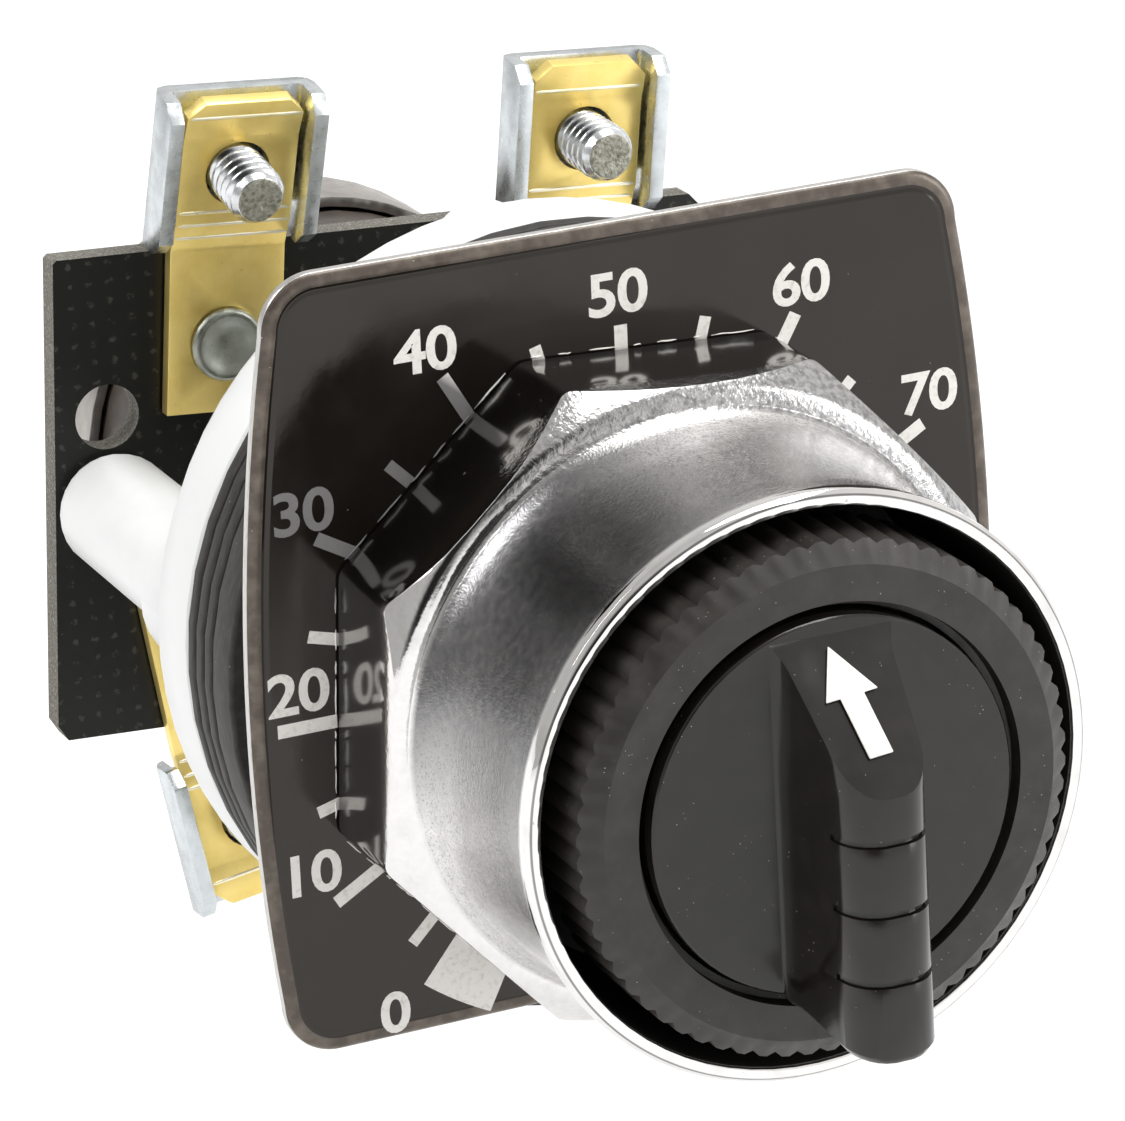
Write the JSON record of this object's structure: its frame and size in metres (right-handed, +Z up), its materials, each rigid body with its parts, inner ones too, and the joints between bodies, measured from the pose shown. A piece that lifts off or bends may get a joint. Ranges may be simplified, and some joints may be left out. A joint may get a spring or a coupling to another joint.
{
  "type": "panel-mount rotary potentiometer operator",
  "caption": "Panel-mount rotary potentiometer operator with a printed dial plate, guarded finger-grip knob, rubber gaskets, white body and a rear screw terminal board.",
  "frame": {"origin": "centre of the panel hole, on the knob axis, at the back face of the dial plate", "axes": "+Y into the panel along the knob axis, +Z up the dial, +X to the right seen from the front"},
  "size_m": [0.0614, 0.1145, 0.0701],
  "materials": {
    "white_plastic": "moulded white insert",
    "white_body": "moulded near-white plastic",
    "rubber_dark": "dark grey moulded rubber",
    "knob_plastic": "dark satin moulded plastic",
    "ring_plastic": "dark satin knurled plastic",
    "legend_face": "gloss black enamel with white printing",
    "zinc": "bright zinc plated steel",
    "bakelite": "dark phenolic moulding",
    "nickel": "dull nickel plate",
    "carbon_track": "carbon film on a phenolic ring",
    "chrome_nut": "polished chrome plate, black inside the guard",
    "brass": "sheet brass",
    "laminate": "black fibre laminate board"
  },
  "bodies": {
    "housing": {"body_flange": "white_body", "gasket_1": "rubber_dark", "gasket_2": "rubber_dark", "gasket_3": "rubber_dark", "gasket_4": "rubber_dark", "knob_ring": "ring_plastic", "legend_plate": "legend_face", "post_screw_left": "zinc", "post_screw_right": "zinc", "pot_base": "bakelite", "pot_can": "nickel", "pot_element": "carbon_track", "pot_nut": "nickel", "pot_washer": "nickel", "ring_nut": "chrome_nut", "rivet_a": "zinc", "rivet_b": "zinc", "rivet_c": "zinc", "saddle_a": "zinc", "saddle_b": "zinc", "saddle_c": "zinc", "screw_a": "zinc", "screw_b": "zinc", "screw_c": "zinc", "strip_a": "brass", "strip_b": "brass", "strip_c": "brass", "terminal_board": "laminate", "threaded_bushing": "zinc"},
    "knob_set": {"knob": "knob_plastic", "arrow_insert": "white_plastic", "set_screw": "zinc", "shaft": "nickel", "pot_wiper": "nickel"}
  },
  "joints": [
    {"name": "knob_turn", "type": "hinge", "parent": "housing", "child": "knob_set", "pos_m": [0, 0, 0], "axis": [0, 1, 0], "range_deg": [-150, 150]}
  ]
}
